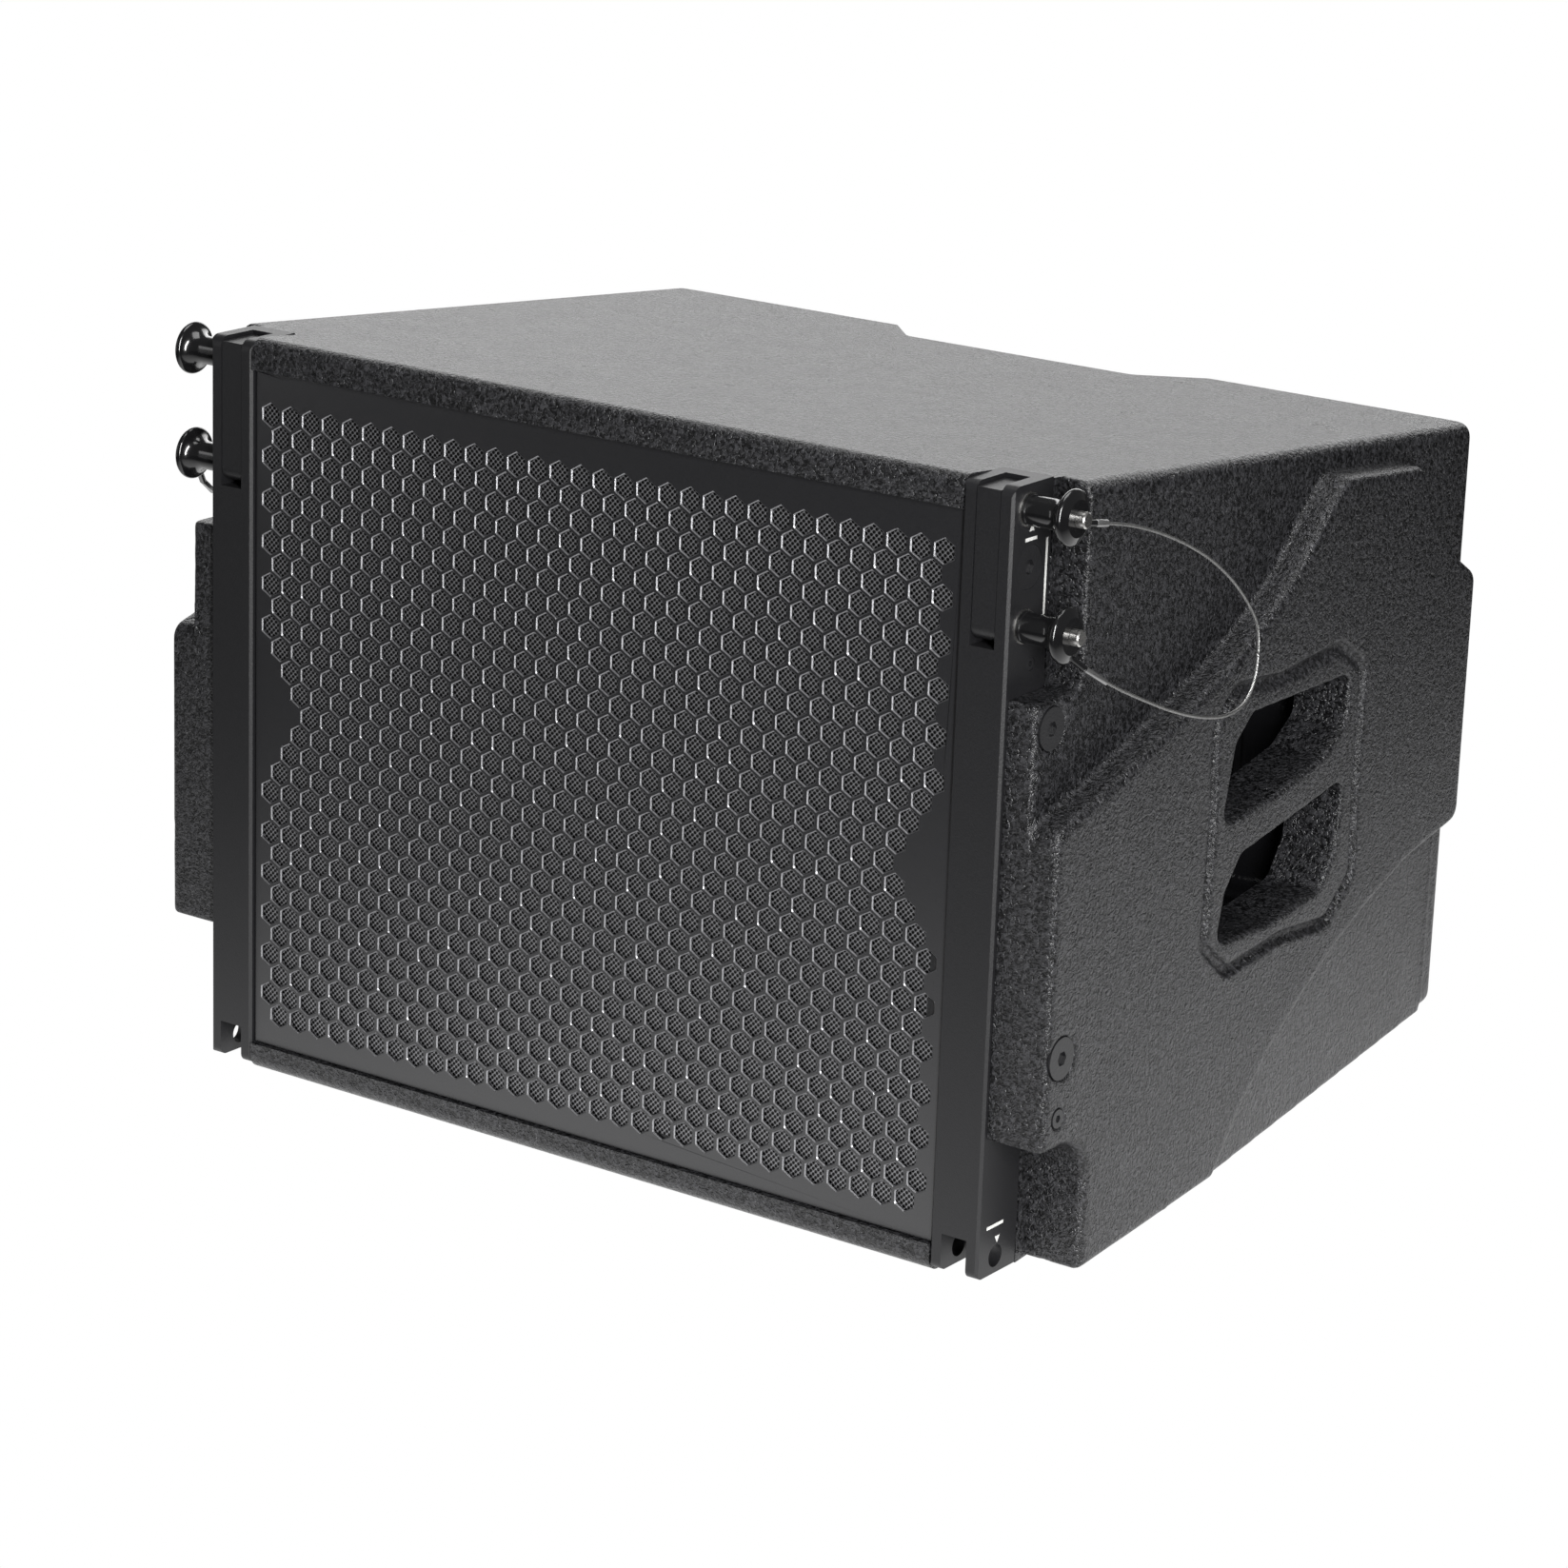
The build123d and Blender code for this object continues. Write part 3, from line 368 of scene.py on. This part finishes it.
# ---- Moulded hand grips --------------------------------------------------------
# Glossy black cups behind the two finger openings of each side, with upright ribs.
grip_black = (0.008, 0.008, 0.009, 1)
rib_pitch = 0.011
waves_per_unit = 3.18

grip_plastic = bpy.data.materials.new("grip_plastic")
grip_plastic.use_nodes = True
tree = grip_plastic.node_tree
shader = tree.nodes["Principled BSDF"]
shader.inputs["Base Color"].default_value = grip_black
shader.inputs["Roughness"].default_value = 0.16
place = tree.nodes.new("ShaderNodeTexCoord")
ribs = tree.nodes.new("ShaderNodeTexWave")
ribs.bands_direction = "Y"
ribs.inputs["Scale"].default_value = 1 / (rib_pitch * waves_per_unit)
ribs.inputs["Distortion"].default_value = 1.2
bump = tree.nodes.new("ShaderNodeBump")
bump.inputs["Distance"].default_value = 0.002
tree.links.new(place.outputs["Object"], ribs.inputs["Vector"])
tree.links.new(ribs.outputs["Fac"], bump.inputs["Height"])
tree.links.new(bump.outputs["Normal"], shader.inputs["Normal"])
for side in ("left", "right"):
    set_material(f"handle_cup_{side}", grip_plastic)

# ---- Punched grille and its mesh ---------------------------------------------------
# A powder-coated steel sheet punched with hexagons, with a fine black wire mesh
# behind it that keeps dust out and catches the light in small glints.
def satin_powder(name, colour, speckle, roughness):
    """Satin powder coat: a fine orange-peel bump and a little variation."""
    material = bpy.data.materials.new(name)
    material.use_nodes = True
    tree = material.node_tree
    shader = tree.nodes["Principled BSDF"]
    place = tree.nodes.new("ShaderNodeTexCoord")
    peel = tree.nodes.new("ShaderNodeTexNoise")
    peel.inputs["Scale"].default_value = 1 / speckle
    peel.inputs["Detail"].default_value = 4
    tint = tree.nodes.new("ShaderNodeValToRGB")
    tint.color_ramp.elements[0].position, tint.color_ramp.elements[1].position = 0.35, 0.75
    tint.color_ramp.elements[0].color = colour
    tint.color_ramp.elements[1].color = tuple(c * 1.5 for c in colour[:3]) + (1,)
    sheen = tree.nodes.new("ShaderNodeMapRange")
    sheen.inputs["To Min"].default_value = roughness - 0.06
    sheen.inputs["To Max"].default_value = roughness + 0.06
    bump = tree.nodes.new("ShaderNodeBump")
    bump.inputs["Distance"].default_value = speckle * 0.12
    link = tree.links.new
    link(place.outputs["Object"], peel.inputs["Vector"])
    link(peel.outputs["Fac"], tint.inputs["Fac"])
    link(peel.outputs["Fac"], sheen.inputs["Value"])
    link(peel.outputs["Fac"], bump.inputs["Height"])
    link(tint.outputs["Color"], shader.inputs["Base Color"])
    link(sheen.outputs["Result"], shader.inputs["Roughness"])
    link(bump.outputs["Normal"], shader.inputs["Normal"])
    return material


# The sheet is remade from the CAD shape with a bevel on every rim.  The rims are
# marked first, because the flat faces are then joined to keep the bevel even.  Only
# the faces of the bevel lean, and they take a paler finish, a painted highlight.
grille_black = (0.0125, 0.0125, 0.0138, 1)
punched_edge, rim_angle, sliver_size = 0.00048, radians(75), 0.00006
least_lean, most_lean = 0.4, 0.9
grille_coat = satin_powder("grille_powder_coat", grille_black, 0.0004, 0.30)
grille_coat.node_tree.nodes["Principled BSDF"].inputs["Specular IOR Level"].default_value = 0.9
# A pale metallic finish for the leaning bevel faces: a painted highlight along every punched rim.
painted_rim_highlight = satin_powder("painted_rim_highlight", (0.26, 0.26, 0.27, 1), 0.0005, 0.36)
painted_rim_highlight.node_tree.nodes["Principled BSDF"].inputs["Metallic"].default_value = 0.9
bpy.ops.object.select_all(action="DESELECT")
grille = bpy.data.objects.new("punched_grille", nodes["grille"].data.copy())
bpy.context.scene.collection.objects.link(grille)
grille.data.materials.clear()
grille.data.materials.append(grille_coat)
grille.data.materials.append(painted_rim_highlight)
grille.select_set(True)
bpy.context.view_layer.objects.active = grille
bpy.ops.object.mode_set(mode="EDIT")
bpy.ops.mesh.select_all(action="SELECT")
bpy.ops.mesh.remove_doubles(threshold=weld_distance)
bpy.ops.mesh.dissolve_degenerate(threshold=sliver_size)
bpy.ops.mesh.select_all(action="DESELECT")
bpy.ops.mesh.edges_select_sharp(sharpness=rim_angle)
bpy.ops.mesh.mark_sharp()
bpy.ops.mesh.select_all(action="SELECT")
bpy.ops.mesh.dissolve_limited(angle_limit=flat_angle)
bpy.ops.mesh.select_mode(type="EDGE")
bpy.ops.mesh.select_all(action="DESELECT")
bpy.ops.object.mode_set(mode="OBJECT")
for edge in grille.data.edges:
    edge.select = edge.use_edge_sharp
bpy.ops.object.mode_set(mode="EDIT")
bpy.ops.mesh.bevel(offset=punched_edge, segments=1, loop_slide=False)
bpy.ops.object.mode_set(mode="OBJECT")
bpy.ops.mesh.customdata_custom_splitnormals_clear()
bpy.ops.object.shade_flat()
to_front = lean @ Vector((0, -1, 0))
# The leaning faces of the bevel take the second material, the painted highlight on the rims.
for face in grille.data.polygons:
    face.material_index = int(least_lean < abs(face.normal.dot(to_front)) < most_lean)
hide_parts("grille")
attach(grille, "cabinet")

# The woven mesh is one thin sheet.  Its wires are drawn as the light rims between
# round dark holes, in rows turned by 45 degrees.
mesh_pitch = 0.0019
mesh_wire = bpy.data.materials.new("woven_wire")
mesh_wire.use_nodes = True
tree = mesh_wire.node_tree
shader = tree.nodes["Principled BSDF"]
shader.inputs["Metallic"].default_value = 0.6
shader.inputs["Roughness"].default_value = 0.3
place = tree.nodes.new("ShaderNodeTexCoord")
holes = tree.nodes.new("ShaderNodeTexVoronoi")
holes.voronoi_dimensions = "2D"
holes.inputs["Scale"].default_value = 1 / mesh_pitch
holes.inputs["Randomness"].default_value = 0.0
flat = tree.nodes.new("ShaderNodeMapping")
flat.inputs["Rotation"].default_value = (radians(90), 0, radians(45))
tint = tree.nodes.new("ShaderNodeValToRGB")
tint.color_ramp.elements[0].position, tint.color_ramp.elements[1].position = 0.36, 0.52
tint.color_ramp.elements[0].color = (0.002, 0.002, 0.002, 1)
tint.color_ramp.elements[1].color = (0.24, 0.24, 0.25, 1)
bump = tree.nodes.new("ShaderNodeBump")
bump.inputs["Distance"].default_value = 0.0005
link = tree.links.new
link(place.outputs["Object"], flat.inputs["Vector"])
link(flat.outputs["Vector"], holes.inputs["Vector"])
link(holes.outputs["Distance"], tint.inputs["Fac"])
link(tint.outputs["Color"], shader.inputs["Base Color"])
link(holes.outputs["Distance"], bump.inputs["Height"])
link(bump.outputs["Normal"], shader.inputs["Normal"])
set_material("grille_mesh", mesh_wire)

# ---- Rigging columns and link bars ------------------------------------------------------
# Black-coated metal channels at both sides of the grille.  The upper ends hold the
# link bars, and the forked lower ends take the bars of the next cabinet.
rigging_black = (0.009, 0.009, 0.010, 1)
rigging_coat = satin_powder("rigging_coat", rigging_black, 0.0007, 0.44)
for node in ("rigging_column_left", "rigging_column_right", "link_bar_left", "link_bar_right",
             "rear_channel", "rear_splay_bar"):
    set_material(node, rigging_coat)

# White printed marks on the sides of the columns: an arrow at the upper pin and at
# the link hole, a dash at each and a long dash along the rear edge.  Each mark is
# its kind, its y and z, and then the way an arrow points or the size of a dash.
column_face, print_depth, arrow_radius = 0.2206, 0.00008, 0.0022
marks = [("arrow", 0.0150, 0.3345, 1), ("dash", 0.0148, 0.3300, (0.0088, 0.0015)),
         ("dash", 0.0272, 0.3120, (0.0015, 0.0330)), ("arrow", 0.0150, 0.0190, -1),
         ("dash", 0.0128, 0.0255, (0.0130, 0.0015))]
white_print = satin_powder("white_print", (0.62, 0.62, 0.60, 1), 0.0006, 0.5)
for side, sign in (("left", -1), ("right", 1)):
    bpy.ops.object.select_all(action="DESELECT")
    printed = []
    for kind, y, z, shape in marks:
        where = (sign * column_face, y, z)
        if kind == "dash":
            bpy.ops.mesh.primitive_cube_add(size=1, location=where)
            bpy.context.object.scale = (print_depth, *shape)
        else:
            bpy.ops.mesh.primitive_cone_add(vertices=3, radius1=1, radius2=1, depth=1, location=where,
                                            rotation=(radians(90) * shape, 0, radians(90)))
            bpy.context.object.scale = (arrow_radius, arrow_radius, print_depth)
        printed.append(bpy.context.object)
    for piece in printed:
        piece.select_set(True)
    bpy.ops.object.join()
    piece = bpy.context.object
    piece.name = f"printed_marks_{side}"
    piece.data.transform(Matrix.Translation(front_edge) @ lean.to_4x4() @ piece.matrix_world)
    piece.matrix_world = Matrix.Identity(4)
    piece.data.materials.append(white_print)
    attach(piece, "cabinet")

# ---- Quick-release pins -------------------------------------------------------------
# Turned and black-finished handles on hardened shanks, with a steel release button.
pin_black = bpy.data.materials.new("pin_gloss_black")
pin_black.use_nodes = True
tree = pin_black.node_tree
shader = tree.nodes["Principled BSDF"]
shader.inputs["Base Color"].default_value = (0.006, 0.006, 0.0065, 1)
shader.inputs["Coat Weight"].default_value = 0.6
shader.inputs["Coat Roughness"].default_value = 0.05
place = tree.nodes.new("ShaderNodeTexCoord")
marks = tree.nodes.new("ShaderNodeTexNoise")
marks.inputs["Scale"].default_value = 700
sheen = tree.nodes.new("ShaderNodeMapRange")
sheen.inputs["To Min"].default_value, sheen.inputs["To Max"].default_value = 0.12, 0.26
tree.links.new(place.outputs["Object"], marks.inputs["Vector"])
tree.links.new(marks.outputs["Fac"], sheen.inputs["Value"])
tree.links.new(sheen.outputs["Result"], shader.inputs["Roughness"])

turned_steel = bpy.data.materials.new("turned_steel")
turned_steel.use_nodes = True
tree = turned_steel.node_tree
shader = tree.nodes["Principled BSDF"]
shader.inputs["Base Color"].default_value = (0.66, 0.65, 0.63, 1)
shader.inputs["Metallic"].default_value = 1.0
place = tree.nodes.new("ShaderNodeTexCoord")
brush = tree.nodes.new("ShaderNodeTexNoise")
brush.inputs["Scale"].default_value = 1500
sheen = tree.nodes.new("ShaderNodeMapRange")
sheen.inputs["To Min"].default_value, sheen.inputs["To Max"].default_value = 0.18, 0.42
tree.links.new(place.outputs["Object"], brush.inputs["Vector"])
tree.links.new(brush.outputs["Fac"], sheen.inputs["Value"])
tree.links.new(sheen.outputs["Result"], shader.inputs["Roughness"])

for side in ("left", "right"):
    for level in ("lower", "upper"):
        set_material(f"quick_pin_{side}_{level}", pin_black)
        set_material(f"pin_button_{side}_{level}", turned_steel)
set_material("rear_pin", pin_black)
set_material("rear_pin_button", turned_steel)
set_material("pin_bushes", turned_steel)

# A crimp holds the end of each lanyard where it leaves its pin: a thin long sleeve on
# the lower ones and a thicker short one on the upper ones, both of grey metal.
crimp_sizes = {"upper": (0.0017, 0.0070), "lower": (0.0014, 0.0150)}
crimp_share_out = 0.42
crimp_steel = satin_powder("crimp_metal", (0.33, 0.33, 0.33, 1), 0.0007, 0.3)
crimp_steel.node_tree.nodes["Principled BSDF"].inputs["Metallic"].default_value = 0.9
for side, sign in (("left", -1), ("right", 1)):
    for level, route in (("upper", upper_route), ("lower", lower_route)):
        radius, height = crimp_sizes[level]
        start, after = (laid_back(sign * x, y, z) for x, y, z in route[:2])
        along = (after - start).normalized()
        bpy.ops.object.select_all(action="DESELECT")
        bpy.ops.mesh.primitive_cylinder_add(vertices=20, radius=radius, depth=height)
        crimp = bpy.context.object
        crimp.name = f"crimp_{side}_{level}"
        rounded = crimp.modifiers.new("pressed_ends", "BEVEL")
        rounded.width, rounded.segments = 0.0004, 2
        bpy.ops.object.modifier_apply(modifier=rounded.name)
        bpy.ops.object.shade_smooth()
        crimp.data.set_sharp_from_angle(angle=radians(40))
        turn = along.to_track_quat("Z", "X").to_matrix().to_4x4()
        crimp.data.transform(Matrix.Translation(start + along * height * crimp_share_out) @ turn)
        crimp.data.materials.append(crimp_steel)
        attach(crimp, f"quick_pin_{side}_{level}")

# ---- Screws ----------------------------------------------------------------------------
# Steel screws with a black oxide finish: countersunk and small socket heads in the
# sides, and those of the connector plate, the woofer and the waveguide.
oxide_coat = satin_powder("black_oxide", (0.012, 0.012, 0.013, 1), 0.0009, 0.34)
for node in ("side_screws", "connector_plate_screws", "woofer_screws", "waveguide_screws"):
    set_material(node, oxide_coat)

# ---- Connectors and inner parts -------------------------------------------------------------
# Moulded plate, sockets, waveguide, cover and ports, then the finishes of the inner
# parts.  Each finish is its colour, how metallic and how rough it is, and its nodes.
moulded_black = satin_powder("moulded_black", (0.018, 0.018, 0.019, 1), 0.0012, 0.4)
for node in ("connector_plate", "connector_socket_input", "connector_socket_link", "waveguide",
             "compression_driver_cover", "port_tubes"):
    set_material(node, moulded_black)
inner_finishes = {
    "cast_frame": ((0.03, 0.03, 0.03, 1), 0.4, 0.5, ("woofer_basket",)),
    "ferrite": ((0.05, 0.05, 0.052, 1), 0.0, 0.6, ("woofer_magnet",)),
    "plated_steel": ((0.5, 0.5, 0.48, 1), 1.0, 0.35,
                     ("woofer_top_plate", "woofer_back_plate", "compression_driver")),
    "paper_cone": ((0.02, 0.02, 0.02, 1), 0.0, 0.75, ("woofer_cone", "woofer_dust_cap")),
    "copper_coil": ((0.7, 0.32, 0.14, 1), 1.0, 0.35, ("woofer_voice_coil", "crossover_inductors")),
    "roll_cloth": ((0.015, 0.015, 0.015, 1), 0.0, 0.8, ("woofer_surround", "woofer_gasket")),
    "treated_cotton": ((0.45, 0.27, 0.1, 1), 0.0, 0.85, ("woofer_spider",)),
    "board_green": ((0.03, 0.16, 0.06, 1), 0.0, 0.4, ("crossover_board",)),
    "capacitor_film": ((0.6, 0.45, 0.06, 1), 0.0, 0.3, ("crossover_capacitors",)),
    "wadding": ((0.3, 0.3, 0.3, 1), 0.0, 0.95, ("damping_foam",))}
for name, (colour, metal, roughness, where) in inner_finishes.items():
    finish = satin_powder(name, colour, 0.0015, roughness)
    finish.node_tree.nodes["Principled BSDF"].inputs["Metallic"].default_value = metal
    for node in where:
        set_material(node, finish)
